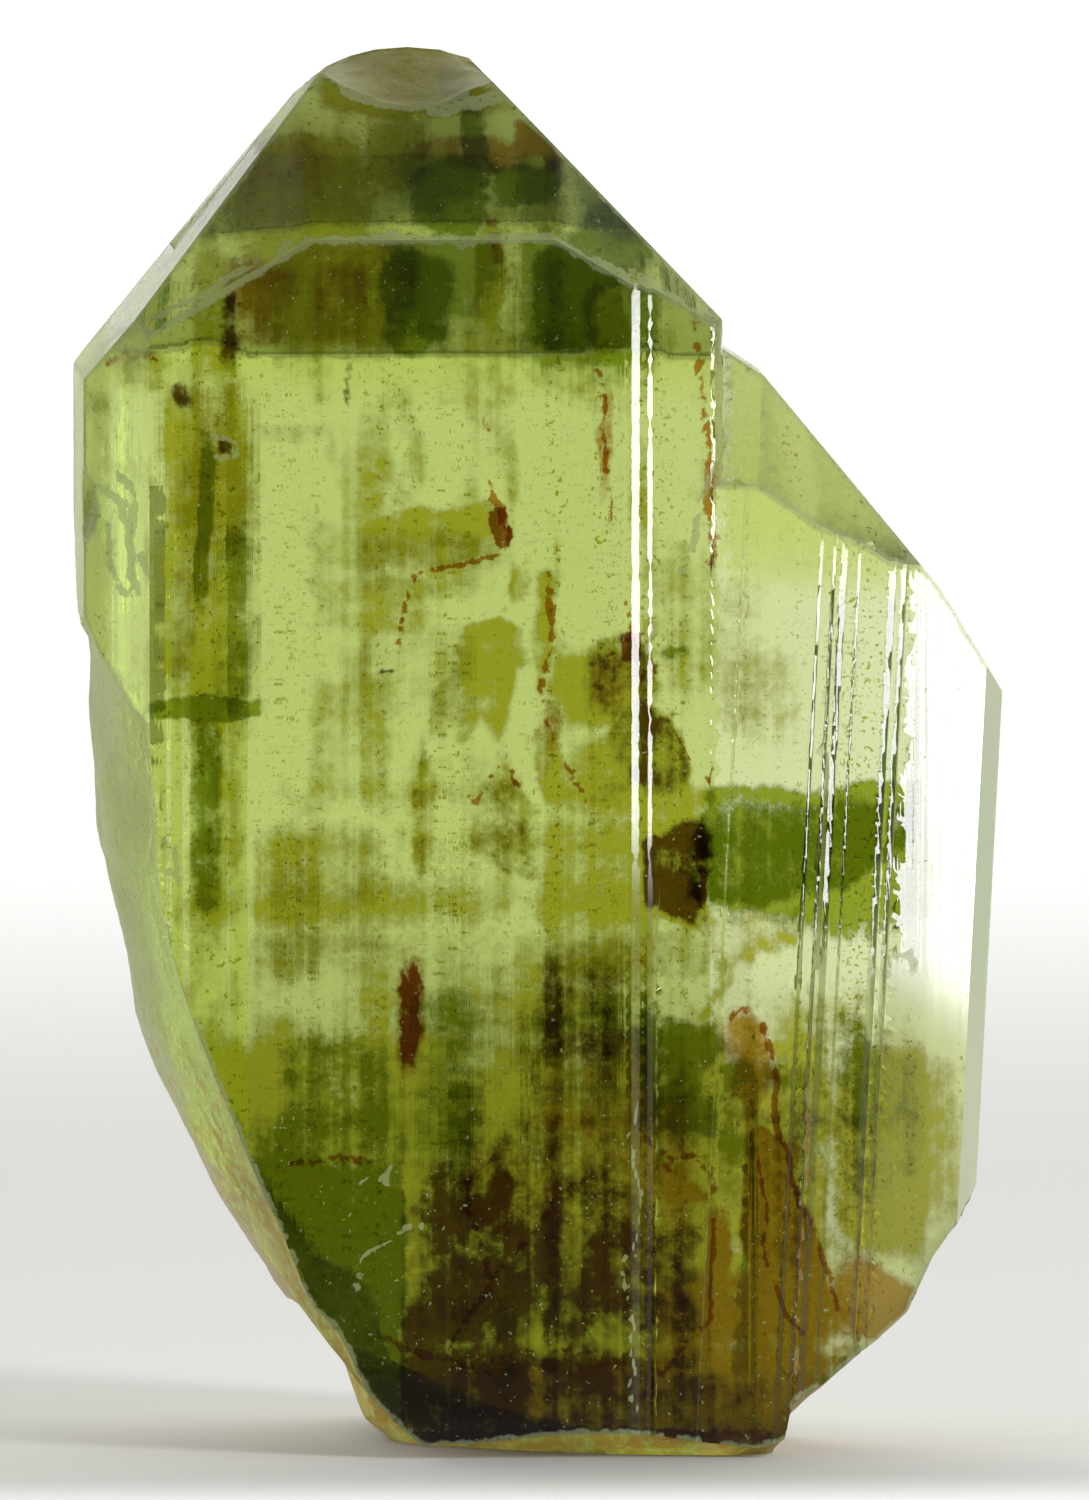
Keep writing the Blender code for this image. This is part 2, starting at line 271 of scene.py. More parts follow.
# Stains as they lie when the front is looked at from the camera's side, in millimetres: across
# and up from the foot. Those of the front lie just under the front faces, the others behind.
# The rounded patches come first, each as its middle, reaches, turn and strength.
FRONT_OLIVE = (
    ((-3.35, 23.35), (2.69, 0.77), 3, 0.75),
    ((-2.33, 23.79), (1.33, 0.56), 4, 0.95),
    ((-4.04, 21.74), (1.79, 0.82), 0, 0.65),
    ((-4.73, 18.70), (1.13, 1.28), 0, 0.65),
    ((-5.70, 14.32), (1.79, 2.17), 0, 0.75),
    ((-5.52, 29.80), (2.17, 1.53), 0, 0.9),
    ((-6.16, 32.35), (1.69, 1.79), 0, 1.0),
    ((-3.61, 33.38), (0.92, 1.02), 0, 0.8),
    ((-1.33, 30.05), (0.36, 1.69), 2, 0.9),
    ((-6.16, 26.21), (1.53, 0.31), 0, 0.5),
    ((1.71, 29.08), (0.56, 0.82), 14, 0.95),
    ((-8.34, 22.12), (1.15, 5.12), 0, 0.6),
    ((-10.77, 25.96), (0.66, 1.79), 20, 0.6),
    ((0.13, 21.66), (0.23, 1.02), 0, 0.85),
    ((-0.59, 22.38), (0.36, 0.51), 0, 0.7),
    ((1.51, 19.57), (1.15, 1.02), 0, 0.9),
    ((1.64, 17.26), (1.15, 1.15), 0, 0.85),
    ((3.04, 15.47), (1.28, 1.79), 0, 0.8),
    ((1.51, 14.19), (1.92, 2.81), 0, 0.75),
    ((-1.82, 16.24), (1.53, 2.30), 0, 0.55),
    ((3.81, 21.36), (0.77, 2.30), 0, 0.5),
    ((5.60, 19.31), (1.02, 1.53), 0, 0.5),
    ((-10.13, 27.75), (0.77, 0.56), 0, 0.9),
    ((-3.09, 12.66), (2.30, 2.81), 0, 0.65),
    ((8.93, 7.80), (1.79, 2.81), 0, 0.95),
    ((-3.09, 35.22), (2.43, 0.87), 0, 1.3),
)
# Leaf-shaped healed cracks in the middle, the flame under the tip and the yellow zone low right.
LEAVES = (
    (((-1.61, 20.84), (-2.84, 19.57), (-3.04, 18.39), (-2.38, 18.24), (-1.25, 20.03)), 0.75),
    (((-1.82, 20.33), (-2.28, 18.80), (-2.10, 17.98), (-1.46, 18.80), (-0.90, 20.23)), 0.85),
    (((-1.05, 20.59), (-1.46, 19.00), (-1.30, 18.16), (-0.90, 18.41), (-0.49, 20.23)), 0.8),
    (
        (
            (-1.92, 21.30), (-2.28, 20.59), (-1.82, 20.03),
            (-0.26, 20.13), (-0.33, 21.15), (-1.05, 21.56),
        ),
        0.8,
    ),
    (((-0.13, 22.89), (-0.28, 20.33), (-0.03, 19.31), (0.38, 20.59), (0.43, 22.51)), 0.7),
    (((-0.61, 18.41), (-0.03, 16.75), (1.00, 16.37), (0.64, 17.77), (0.18, 18.67)), 0.8),
    (((0.84, 14.88), (1.41, 14.32), (1.87, 14.78), (1.41, 15.06)), 0.8),
    (((2.97, 16.62), (3.25, 16.09), (4.40, 16.80), (4.48, 17.21)), 0.9),
    (((-1.23, 31.97), (-1.92, 28.52), (-1.56, 28.26), (-0.92, 28.77), (-0.97, 31.71)), 0.7),
    (
        (
            (3.66, 12.25), (3.81, 11.64), (6.04, 12.92),
            (6.91, 13.79), (6.04, 13.68), (5.06, 12.92),
        ),
        0.8,
    ),
    (
        (
            (2.53, 13.68), (2.79, 12.28), (4.07, 12.46),
            (6.37, 13.30), (6.62, 14.19), (4.07, 13.81),
        ),
        0.6,
    ),
)
# The green lens that shows through the smaller crystal.
LENSES = (
    (
        (
            (4.19, 17.14), (3.81, 15.47), (3.81, 14.07), (5.60, 14.07),
            (7.90, 14.50), (9.31, 15.47), (9.95, 16.75), (9.80, 17.16),
        ),
        0.75,
    ),
)
FRONT_GREEN = (
    ((-2.28, 32.20), (0.92, 1.13), 0, 1.1),
    ((-1.66, 33.76), (0.46, 0.87), 0, 0.9),
    ((-0.36, 32.48), (0.87, 0.66), 0, 1.0),
    ((1.76, 31.07), (1.28, 1.02), 40, 0.8),
    ((-3.09, 29.54), (0.97, 1.28), 0, 0.95),
    ((0.54, 29.54), (0.92, 1.33), 0, 1.05),
    ((-2.20, 35.27), (0.41, 0.56), 0, 0.9),
    ((-8.59, 16.50), (0.41, 2.56), 0, 0.6),
    ((-9.57, 15.98), (0.15, 2.05), 0, 0.6),
    ((3.55, 9.59), (1.18, 1.79), 0, 0.75),
    ((-8.64, 23.91), (0.20, 2.30), -2, 0.75),
    ((-8.59, 19.10), (1.53, 0.28), 4, 1.1),
    ((3.38, 20.61), (0.31, 0.13), 0, 0.8),
    ((-5.27, 7.03), (1.59, 3.84), 0, 0.68),
    ((-0.74, 3.71), (2.86, 2.43), 0, 0.5),
    ((3.25, 3.96), (0.92, 2.20), 0, 0.4),
    ((8.16, 8.31), (1.79, 2.30), 0, 0.45),
    ((7.90, 10.10), (1.28, 1.02), -20, 0.5),
)
FRONT_UMBER = (
    ((1.76, 1.41), (4.35, 1.02), 0, 0.62),
    ((-4.88, 27.49), (0.13, 0.77), 0, 0.8),
    ((-7.90, 28.77), (0.26, 1.02), 0, 0.6),
    ((-3.91, 20.03), (0.31, 0.08), 0, 0.7),
    ((-3.86, 17.42), (0.36, 0.08), 0, 0.6),
    ((0.87, 11.38), (1.53, 1.79), 0, 0.6),
    ((-9.10, 27.19), (0.26, 0.41), 20, 0.7),
    ((-8.16, 25.86), (0.18, 0.23), 0, 0.7),
    ((3.25, 3.96), (0.92, 2.20), 0, 0.6),
    ((6.62, 7.03), (1.53, 2.81), 0, 0.5),
)
# Smoky brown flakes in the middle of the front.
FLAKES = (
    (
        (
            (2.53, 15.78), (2.74, 14.07), (4.07, 13.12),
            (4.37, 15.47), (4.22, 16.39), (3.53, 16.19),
        ),
        1.25,
    ),
    (
        (
            (2.28, 19.18), (1.51, 18.41), (2.23, 17.26), (3.15, 16.75),
            (3.89, 17.39), (3.55, 18.67), (2.92, 19.18),
        ),
        1.0,
    ),
    (
        (
            (0.66, 18.16), (0.49, 16.75), (1.51, 16.24),
            (2.53, 17.01), (2.33, 17.90), (1.51, 18.41),
        ),
        0.55,
    ),
    (((-1.56, 17.52), (-1.92, 15.35), (-0.10, 14.55), (-0.08, 16.62), (-0.90, 17.83)), 0.75),
    (((-0.59, 17.26), (-0.54, 15.01), (-0.10, 14.55), (-0.08, 16.62)), 0.95),
    (((-3.02, 18.47), (-3.30, 17.01), (-3.35, 14.71), (-2.69, 14.91), (-2.58, 17.37)), 0.85),
    (
        (
            (1.05, 20.59), (1.10, 18.93), (2.53, 18.70), (3.04, 19.57),
            (2.66, 20.72), (2.28, 21.15), (1.61, 20.84),
        ),
        0.7,
    ),
)
# The tongue of rusty cracks that rises from the foot on the right.
TONGUE = (
    (((4.96, 11.33), (4.68, 9.34), (5.50, 8.57), (6.06, 9.59), (5.75, 10.97)), 0.9),
    (
        (
            (5.22, 8.57), (4.99, 5.50), (5.81, 3.71), (6.78, 2.94),
            (7.72, 3.40), (7.26, 5.40), (6.01, 8.31),
        ),
        1.0,
    ),
    (((2.53, 8.44), (3.04, 6.52), (4.37, 6.39), (4.37, 7.16), (3.45, 7.54)), 0.9),
)
FRONT_RUST = (
    ((-1.07, 23.71), (0.26, 0.54), 10, 0.9),
    ((-3.32, 11.38), (0.31, 1.64), -2, 0.7),
    ((2.25, 20.69), (0.28, 0.43), 0, 0.9),
    ((4.25, 17.29), (0.18, 0.18), 0, 0.9),
    ((0.49, 0.38), (5.88, 0.31), 0, 0.8),
    ((4.07, 14.96), (0.20, 1.28), 2, 0.7),
)
FRONT_AMBER = (
    ((5.22, 3.07), (2.81, 1.79), 0, 0.95),
    ((2.53, 1.41), (5.12, 1.18), 0, 1.0),
    ((8.67, 3.71), (1.43, 0.87), -32, 1.1),
    ((6.19, 7.16), (0.41, 1.07), -8, 0.9),
    ((4.53, 4.73), (0.36, 1.84), 0, 1.0),
    ((3.55, 1.97), (0.82, 0.72), 30, 1.1),
    ((5.12, 10.36), (0.51, 1.13), 4, 0.9),
    ((1.51, 9.34), (1.53, 1.79), 0, 0.7),
    ((-0.66, 6.78), (1.53, 1.53), 0, 0.75),
    ((-1.82, 33.38), (1.53, 0.51), -6, 0.95),
    ((-0.03, 33.58), (0.77, 0.41), -30, 1.2),
    ((-6.42, 33.12), (1.28, 1.02), 0, 0.6),
    ((-7.14, 29.54), (0.87, 1.18), 0, 0.75),
    ((-5.14, 29.54), (0.77, 1.18), 0, 0.7),
    ((-1.13, 31.07), (0.15, 0.56), 0, 1.1),
    ((-9.87, 20.84), (0.26, 1.79), 0, 0.45),
    ((-3.32, 11.38), (0.38, 1.84), -2, 0.9),
    ((2.02, 19.82), (0.87, 0.87), 0, 0.6),
    ((1.76, 6.78), (2.56, 3.84), 0, 0.75),
    ((-2.33, 5.24), (1.53, 2.56), 0, 0.5),
    ((4.07, 26.21), (0.26, 2.81), -2, 0.5),
    ((1.66, 25.96), (0.20, 1.53), 0, 0.8),
    ((-0.03, 18.16), (0.56, 1.28), -20, 0.6),
    ((-10.51, 28.11), (0.77, 0.20), 0, 0.9),
)
# Rusty cracks, each as its points and its width.
FRONT_THREADS = (
    (((-1.48, 26.50), (-1.20, 24.68), (-0.97, 23.96), (-0.79, 23.22)), 0.08),
    (((-0.90, 23.12), (-3.17, 22.58), (-3.53, 21.59), (-3.53, 20.31)), 0.06),
    (
        (
            (0.20, 22.61), (0.20, 20.79), (-0.03, 19.67),
            (0.03, 18.85), (1.05, 16.91), (1.18, 16.45),
        ),
        0.08,
    ),
    (((3.81, 29.28), (4.22, 26.47), (4.42, 22.89)), 0.12),
    (((1.51, 27.75), (1.69, 25.70), (1.84, 23.91)), 0.08),
    (((-1.79, 7.16), (-1.89, 6.45), (-1.30, 4.55), (-0.61, 5.24), (0.38, 6.34)), 0.07),
    (((-1.25, 4.42), (-1.79, 3.68), (-2.43, 2.61)), 0.08),
    (((-4.63, 3.15), (-3.07, 2.61), (-1.25, 2.05)), 0.1),
    (((-1.61, 2.40), (-0.43, 2.69), (1.30, 2.69)), 0.05),
    (((4.83, 11.18), (5.22, 11.46), (5.65, 10.97), (6.01, 9.69), (6.01, 8.62)), 0.08),
    (((6.01, 8.39), (6.55, 7.11), (6.62, 6.42), (7.21, 5.40), (7.42, 4.63), (7.67, 3.45)), 0.08),
    (((4.99, 8.62), (5.47, 7.75), (5.81, 6.24), (5.75, 4.96), (6.24, 3.66), (6.78, 3.02)), 0.07),
    (((2.48, 8.39), (3.02, 7.75), (4.09, 7.54), (4.40, 7.01), (4.35, 3.55), (3.32, 2.38)), 0.07),
    (((3.32, 2.38), (2.69, 1.51)), 0.08),
    (((3.45, 7.54), (3.04, 6.52), (2.79, 5.75)), 0.06),
    (((-6.45, 7.49), (-5.14, 7.60), (-3.99, 7.54)), 0.08),
    (((2.25, 21.87), (2.30, 20.84)), 0.08),
    (((2.92, 18.90), (3.61, 18.34), (3.86, 17.37)), 0.07),
    (((1.61, 20.23), (2.07, 21.00), (2.66, 20.43), (3.15, 19.57)), 0.08),
    (((-1.66, 16.75), (-0.95, 17.83), (-0.43, 17.01)), 0.05),
    (((-11.15, 28.08), (-9.87, 28.08)), 0.09),
)
BACK_OLIVE = (
    ((-8.59, 25.32), (1.28, 2.43), 0, 0.85),
    ((-5.40, 31.07), (2.30, 2.81), 0, 0.75),
    ((0.49, 11.13), (2.05, 2.05), 0, 0.8),
    ((5.09, 20.84), (0.97, 2.05), 0, 0.6),
    ((-9.49, 21.87), (0.72, 2.30), 0, 0.7),
    ((-5.40, 14.19), (2.05, 2.30), 0, 0.45),
    ((-3.09, 22.89), (2.30, 1.02), 0, 0.5),
    ((-3.09, 35.17), (2.30, 1.02), 0, 0.8),
    ((-3.61, 19.82), (2.30, 1.53), 0, 0.45),
)
BACK_GREEN = (
    ((6.62, 15.35), (2.81, 1.59), 0, 1.0),
    ((-7.95, 21.36), (0.72, 3.07), 0, 0.7),
    ((-2.58, 31.59), (1.53, 2.81), 0, 0.9),
    ((1.25, 30.82), (2.05, 3.07), 0, 0.9),
    ((4.58, 8.57), (2.81, 2.30), 0, 0.6),
    ((8.16, 9.08), (1.53, 1.79), 0, 0.4),
    ((-2.58, 9.59), (1.53, 2.81), 0, 0.55),
    ((1.51, 10.10), (2.30, 1.79), 0, 0.55),
)
BACK_UMBER = (
    ((-0.28, 8.57), (2.30, 2.81), 0, 0.45),
)
# Worn and bruised places on the front, pale and frosted, as points and widths too.
SCARS = (
    (
        (
            (4.71, 28.64), (4.78, 26.98), (4.58, 25.70),
            (4.07, 24.42), (3.81, 22.89), (2.66, 20.59),
        ),
        0.08,
    ),
    (
        (
            (-11.28, 28.39), (-9.62, 29.23), (-7.70, 30.26), (-5.91, 31.18),
            (-3.61, 31.07), (-1.56, 31.02), (0.49, 31.18),
        ),
        0.09,
    ),
    (((0.49, 31.18), (1.51, 30.51), (3.04, 29.95), (4.07, 29.54), (4.63, 28.77)), 0.12),
    (((-5.01, 35.12), (-4.32, 34.78), (-3.61, 34.63), (-2.33, 34.45), (-1.05, 34.86)), 0.16),
    (((-11.33, 24.94), (-10.82, 24.42), (-10.56, 23.40), (-10.26, 22.12)), 0.1),
    (((-10.97, 25.40), (-10.56, 24.68), (-10.36, 23.66), (-10.00, 22.51)), 0.08),
    (((-11.18, 23.91), (-10.97, 22.89), (-10.56, 21.97)), 0.1),
    (((2.40, 8.44), (2.48, 4.88), (2.40, 0.95)), 0.035),
    (((-4.81, 6.80), (-3.71, 7.34)), 0.05),
    (((-2.35, 5.98), (-3.45, 5.88), (-4.17, 4.71), (-4.53, 4.32)), 0.055),
    (((-8.41, 26.16), (-7.95, 25.96), (-7.90, 25.55), (-8.36, 25.55)), 0.08),
    (((-9.74, 15.83), (-9.34, 15.47), (-9.28, 14.55), (-9.59, 14.91)), 0.08),
    (((8.80, 12.66), (9.31, 12.71), (9.28, 12.28), (8.87, 11.89)), 0.06),
)

# The front is seen from 3 degrees to the left and 4 above, so depth shifts a point by their sines.
FRONT_TURN = (0.052, 0.07)
FRONT_SHIFT = (-0.1, 0.3)
BACK_SHIFT = (-0.15, 0.39)


def as_seen(points, front):
    """Where each point shows on the front view, across and up: x and z, moved by the depth."""
    x, y, z = points.T
    across = np.where(front, x - FRONT_TURN[0] * y + FRONT_SHIFT[0], x + BACK_SHIFT[0])
    up = np.where(front, z + FRONT_TURN[1] * y + FRONT_SHIFT[1], z + BACK_SHIFT[1])
    return across, up


def off_sides(outward):
    """1 on the front and the back and 0.1 on the side faces, where patches would lie in layers."""
    return 1.0 - 0.9 * smooth(0.75, 0.95, np.abs(outward[:, 0]))


def paint_stains(points, outward):
    """Olive, green, umber and scars at each point, as red, green, blue and alpha.

    The patches wander more near the foot, which is soaked with colour up to a ragged level.
    """
    x, _, z = points.T
    front = outward[:, 1] < 0.25
    across, up = as_seen(points, front)
    loose = 1.0 + 2.5 * smooth(15.0, 11.0, z)
    across = across + 0.35 * loose * (clouds(x, z, 1.6, 60) - 0.5)
    up = up + 0.5 * loose * (clouds(x, z, 1.3, 63) - 0.5)
    olive = np.where(front, spots(across, up, FRONT_OLIVE), spots(across, up, BACK_OLIVE))
    green = np.where(front, spots(across, up, FRONT_GREEN), spots(across, up, BACK_GREEN))
    umber = np.where(front, spots(across, up, FRONT_UMBER), spots(across, up, BACK_UMBER))
    mottle = clouds(x * 1.4, z * 0.6, 1.7, 47)
    mottle = mottle * smooth(-11.5, -9.5, across) * smooth(7.0, 3.0, across)
    olive = np.maximum(olive, 0.6 * smooth(0.35, 0.75, mottle) * front)
    ragged = clouds(x, z, 0.7, 95)
    olive = np.maximum(olive, flakes(across, up, LEAVES) * (0.75 + 0.5 * ragged) * front)
    green = np.maximum(green, flakes(across, up, LENSES) * (0.75 + 0.5 * ragged) * front)
    umber = np.maximum(umber, flakes(across, up, FLAKES) * (0.45 + 0.45 * ragged) * front)
    olive = np.maximum(olive, flakes(across, up, FLAKES) * front)
    soaked = up + 2.0 * (clouds(x, z, 2.6, 90) - 0.5)
    full = 0.7 + 0.7 * clouds(x * 2.0, z * 0.8, 1.6, 97)
    olive = np.maximum(olive, full * smooth(13.0, 9.0, soaked) * smooth(9.5, 6.5, across) * front)
    left = smooth(-3.2, -3.7, across)
    green = np.maximum(green, 1.1 * smooth(10.0, 6.5, soaked) * left * front)
    heart = smooth(-4.4, -2.8, across) * smooth(4.4, 1.4, across) * front
    umber = np.maximum(umber, (0.35 + 0.85 * ragged) * smooth(10.0, 6.5, soaked) * heart)
    scars = threads(across, up, SCARS) * front
    facing = off_sides(outward)
    return np.stack([olive * facing, green * facing, umber * facing, scars], axis=-1)


def paint_rusts(points, outward):
    """Rust, veil, rusty threads and amber at each point, as red, green, blue and alpha.

    The veil is the milkiness of the roofs, the tip, the left edge and the foot.
    """
    x, _, z = points.T
    front = outward[:, 1] < 0.25
    across, up = as_seen(points, front)
    across = across + 0.3 * (clouds(x, z, 0.9, 80) - 0.5)
    up = up + 0.3 * (clouds(x, z, 0.8, 83) - 0.5)
    rust = spots(across, up, FRONT_RUST) * front
    lines = threads(across, up, FRONT_THREADS) * (0.4 + 1.1 * clouds(x, z, 0.8, 83)) * front
    veil = np.where(front, 0.3 * smooth(27.5, 30.0, up), 0.85 * smooth(26.0, 29.0, up))
    small = np.where(front, 0.55, 1.1) * smooth(21.5, 24.0, up)
    veil = np.where(across > 4.8, small, veil)
    veil = np.maximum(veil, 0.9 * smooth(2.6, 1.6, up) * front)
    veil = np.maximum(veil, 0.7 * smooth(-10.6, -11.4, across) * front)
    veil = np.maximum(veil, 0.4 * smooth(9.5, 5.0, up + 0.2 * np.abs(across)) * front)
    veil = np.maximum(veil, 0.75 * smooth(0.85, 0.95, outward[:, 0]) * (across > 9.0))
    veil = np.maximum(veil, 0.45 * smooth(0.5, 0.6, -outward[:, 0]) * smooth(26.5, 28.0, z))
    veil = np.maximum(veil, 0.9 * smooth(33.0, 33.6, z))
    amber = np.maximum(spots(across, up, FRONT_AMBER), flakes(across, up, TONGUE)) * front
    facing = off_sides(outward)
    return np.stack([rust * facing, veil, lines * facing, amber * facing], axis=-1)


class Wire:
    """A shader socket. Sums and products on it add Math nodes to its material."""

    def __init__(self, tree, socket=None):
        self.tree = tree
        self.socket = socket

    def node(self, kind, settings=None, inputs=None, out=0):
        """Adds a node: its settings first, then its sockets' values or links."""
        made = self.tree.nodes.new("ShaderNode" + kind)
        for name, value in (settings or {}).items():
            setattr(made, name, value)
        for name, value in (inputs or {}).items():
            if isinstance(value, Wire):
                self.tree.links.new(value.socket, made.inputs[name])
            else:
                made.inputs[name].default_value = value
        return Wire(self.tree, made.outputs[out])

    def math(self, operation, other):
        """This value and another one, put together by a Math node."""
        return self.node("Math", {"operation": operation}, {0: self, 1: other})

    def __add__(self, other):
        return self.math("ADD", other)

    def __sub__(self, other):
        return self.math("SUBTRACT", other)

    def __mul__(self, other):
        return self.math("MULTIPLY", other)

    def __rsub__(self, other):
        return (self * -1.0) + other

    __radd__ = __add__
    __rmul__ = __mul__

    def part(self, name):
        """One of a vector's parts, X, Y or Z, or one of a colour's, Red, Green or Blue."""
        kind = "SeparateXYZ" if name in "XYZ" else "SeparateColor"
        return self.node(kind, None, {0: self}, name)

    def rise(self, low, high):
        """From 0 below low to 1 above high, smoothly."""
        sockets = {"Value": self, "From Min": low, "From Max": high}
        return self.node("MapRange", {"interpolation_type": "SMOOTHSTEP"}, sockets)

    def blend(self, first, second):
        """The first colour where this is 0 and the second where it is 1."""
        return self.node("Mix", {"data_type": "RGBA"}, {0: self, 6: first, 7: second}, 2)

    def tinted(self, amount, colour):
        """This colour, multiplied by another one by an amount."""
        settings = {"data_type": "RGBA", "blend_type": "MULTIPLY"}
        return self.node("Mix", settings, {0: amount, 6: self, 7: colour}, 2)

    def stretched(self, x, y, z):
        """This vector with its parts multiplied."""
        return self.node("VectorMath", {"operation": "MULTIPLY"}, {0: self, 1: (x, y, z)})

    def noise(self, scale, detail, rough=0.55):
        """Noise on this vector, from 0 to 1."""
        sockets = {"Vector": self, "Scale": scale, "Detail": detail, "Roughness": rough}
        return self.node("TexNoise", None, sockets)


def new_material(name):
    """An empty material, its tree as a Wire, and its output node."""
    material = bpy.data.materials.new(name)
    material.use_nodes = True
    material.node_tree.nodes.clear()
    output = material.node_tree.nodes.new("ShaderNodeOutputMaterial")
    return material, Wire(material.node_tree), output


def shader_to(tree, shader, output, socket="Surface"):
    """Links a shader to a socket of the output node."""
    tree.tree.links.new(shader.socket, output.inputs[socket])


# What a stain lets through, squared, because a clear shader tints by the root of its colour.
OLIVE = (0.33, 0.29, 0.008, 1)
GREEN = (0.14, 0.19, 0.003, 1)
UMBER = (0.05, 0.017, 0.0003, 1)
RUST = (0.18, 0.03, 0.002, 1)
AMBER = (0.42, 0.17, 0.01, 1)
THREAD = (0.4, 0.1, 0.005, 1)
MILK = (0.92, 0.98, 0.42, 1)
BODY = (0.65, 0.75, 0.075, 1)
# Surface colours where the crystal is worn or broken, and the near-white painted light of its
# outermost face turned to the right.
WORN_PALE = (0.55, 0.6, 0.36, 1)
SIDE_PAINTED_LIGHT = (0.9, 0.95, 0.75, 1)
BREAK_GREY = (0.44, 0.43, 0.17, 1)
BREAK_RUST = (0.45, 0.2, 0.05, 1)
BREAK_DARK = (0.2, 0.2, 0.06, 1)
TIP_OLIVE = (0.3, 0.27, 0.02, 1)


def crystal_material():
    """Clear peridot: bright striated faces, pale worn edges and a frosted, iron-stained break.

    Three shaders are mixed: clear, veil where it is milky, and frosted where broken or worn.
    """
    material, tree, output = new_material("forsterite")
    place = tree.node("TexCoord", out="Object")
    broken = tree.node("Attribute", {"attribute_name": "broken"}, out="Fac")
    away = tree.node("Attribute", {"attribute_name": "away"}, out="Fac")
    stains = tree.node("Attribute", {"attribute_name": "stains"}, out="Color")
    rusts = tree.node("Attribute", {"attribute_name": "rusts"}, out="Color")
    across = place.stretched(1.0, 0.25, 0.012)
    upward = place.stretched(0.012, 0.25, 1.0)
    fine = across.noise(5200.0, 2.0)
    broad = across.noise(1100.0, 2.0)
    steps = upward.noise(900.0, 1.0)
    grain = place.noise(2600.0, 3.0, 0.7)
    dust = place.noise(7000.0, 2.0)
    comb = (broad + fine) * 0.5 - 0.5
    blocks = (broad + steps) * 0.5 - 0.5
    grit = comb * 0.7 + blocks * 1.2 + (grain - 0.5) * 0.7
    faces = fine * 0.35 + broad * 0.65 + steps * 0.3
    height = faces * (1.0 - broken) + grain * broken * 3.0
    bump = tree.node(
        "Bump", None, {"Strength": 0.35, "Distance": 0.05 * MM, "Height": height}, "Normal"
    )
    olive = (stains.part("Red") + grit).rise(0.25, 0.8)
    green = (stains.part("Green") + grit).rise(0.3, 0.75)
    umber = (stains.part("Blue") + grit).rise(0.3, 0.8)
    rust = (rusts.part("Red") + (grain - 0.5) * 0.9 + comb * 0.5).rise(0.35, 0.6)
    thread = (rusts.part("Blue") + (grain - 0.5) * 1.7).rise(0.45, 0.7)
    amber = tree.node("Attribute", {"attribute_name": "rusts"}, out="Alpha")
    amber = (amber + grit).rise(0.3, 0.9)
    specks = dust.rise(0.62, 0.66)
    tint = olive.blend((1, 1, 1, 1), OLIVE)
    tint = tint.tinted(green, GREEN).tinted(umber, UMBER)
    tint = tint.tinted(rust, RUST).tinted(amber, AMBER)
    tint = tint.tinted(thread, THREAD).tinted(specks * broad.rise(0.42, 0.6), OLIVE)
    # Low on the faces turned to the right the polish is dull. The outermost one is made frosted and
    # near white: painted light, for the brightness that face shows toward the right light.
    right = tree.node("NewGeometry", out="True Normal").part("X")
    dull = 1.0 - (place.part("Z") + place.part("X") * 0.5).rise(14.5 * MM, 18.5 * MM)
    matt = right.rise(0.25, 0.3) * dull
    side = right.rise(0.6, 0.7) * place.part("X").rise(10.2 * MM, 10.5 * MM)
    clear = tree.node(
        "BsdfPrincipled",
        None,
        {
            "Base Color": tint,
            "Roughness": matt * 0.33 + 0.02,
            "IOR": 1.66,
            "Transmission Weight": 1.0,
            "Normal": bump,
        },
    )
    milk = tint.tinted(1.0, MILK)
    veil = tree.node(
        "BsdfPrincipled",
        None,
        {
            "Base Color": milk,
            "Roughness": 0.6,
            "IOR": 1.35,
            "Specular IOR Level": 0.0,
            "Transmission Weight": 0.9,
            "Normal": bump,
        },
    )
    low = 1.0 - place.part("Z").rise(5 * MM, 15 * MM)
    high = place.part("Z").rise(33 * MM, 34 * MM)
    tip = high * broken.rise(0.1, 0.2)
    rusty = (grain + low * 0.3 - 0.2).rise(0.4, 0.65)
    stain = broken.rise(0.3, 0.7).blend(WORN_PALE, rusty.blend(BREAK_GREY, BREAK_RUST))
    stain = (specks * 0.7).blend(stain, BREAK_DARK)
    # The outermost face turned to the right is painted near white here, painted light for the
    # brightness it catches from the right.
    stain = tip.blend(side.blend(stain, SIDE_PAINTED_LIGHT), TIP_OLIVE)
    frosted = tree.node(
        "BsdfPrincipled",
        None,
        {
            "Base Color": stain,
            "Roughness": 0.4,
            "IOR": 1.5,
            "Specular IOR Level": 0.05,
            "Transmission Weight": 0.45,
            "Normal": bump,
        },
    )
    scar = tree.node("Attribute", {"attribute_name": "stains"}, out="Alpha")
    worn = (0.12 - away + (grain - 0.5) * 0.3).rise(-0.03, 0.05)
    worn = worn.math("MAXIMUM", (scar + (grain - 0.5) * 1.1).rise(0.45, 0.6))
    milky = (rusts.part("Green") + (grain - 0.5) * 0.4).rise(0.1, 0.7)
    milky = (milky * 0.8).math("MAXIMUM", matt * 0.95).math("MAXIMUM", tip)
    inner = tree.node("MixShader", None, {0: milky, 1: clear, 2: veil})
    glints = (0.3 - dust).rise(0.0, 0.02) * 0.6
    share = (broken * 0.75).math("MAXIMUM", worn * 0.65)
    # That outermost right face also takes most of the frosted shader, so its painted near-white light
    # shows.
    share = share.math("MAXIMUM", side * 0.85).math("MAXIMUM", glints).math("MAXIMUM", tip * 0.7)
    surface = tree.node("MixShader", None, {0: share, 1: inner, 2: frosted})
    shader_to(tree, surface, output)
    body = tree.node(
        "VolumeAbsorption", None, {"Color": BODY, "Density": 160.0}
    )
    shader_to(tree, body, output, "Volume")
    return material


